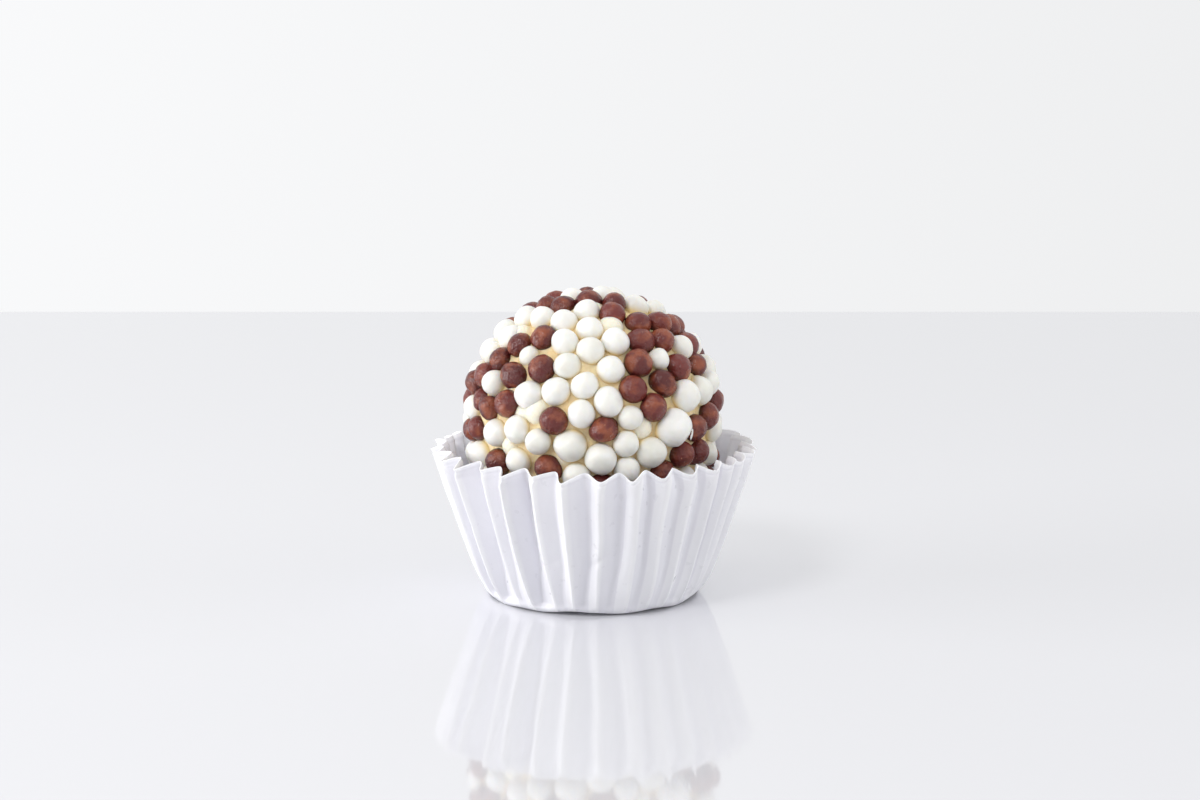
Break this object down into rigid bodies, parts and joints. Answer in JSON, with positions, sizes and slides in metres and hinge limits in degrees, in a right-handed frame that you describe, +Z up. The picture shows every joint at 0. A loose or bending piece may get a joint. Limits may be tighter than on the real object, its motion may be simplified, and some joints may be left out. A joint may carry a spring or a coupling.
{
  "type": "brigadeiro in a paper case",
  "caption": "Round confection of cream paste coated in brown and white chocolate pearls, standing in a white pleated paper case with a scalloped rim; rests flat on the case's base.",
  "frame": {"origin": "middle of the case's flat underside, on the surface that it stands on", "axes": "+Z up through the middle of the case and the ball; -Y is the front, the side shown in the picture; +X is to the right of that view"},
  "size_m": [0.04, 0.0398, 0.0377],
  "materials": {
    "case_paper": "satin",
    "paste": "satin",
    "white_pearl": "satin",
    "brown_pearl": "satin"
  },
  "bodies": {
    "root": {"paper_case": "case_paper", "brigadeiro_ball": "paste"}
  },
  "joints": []
}
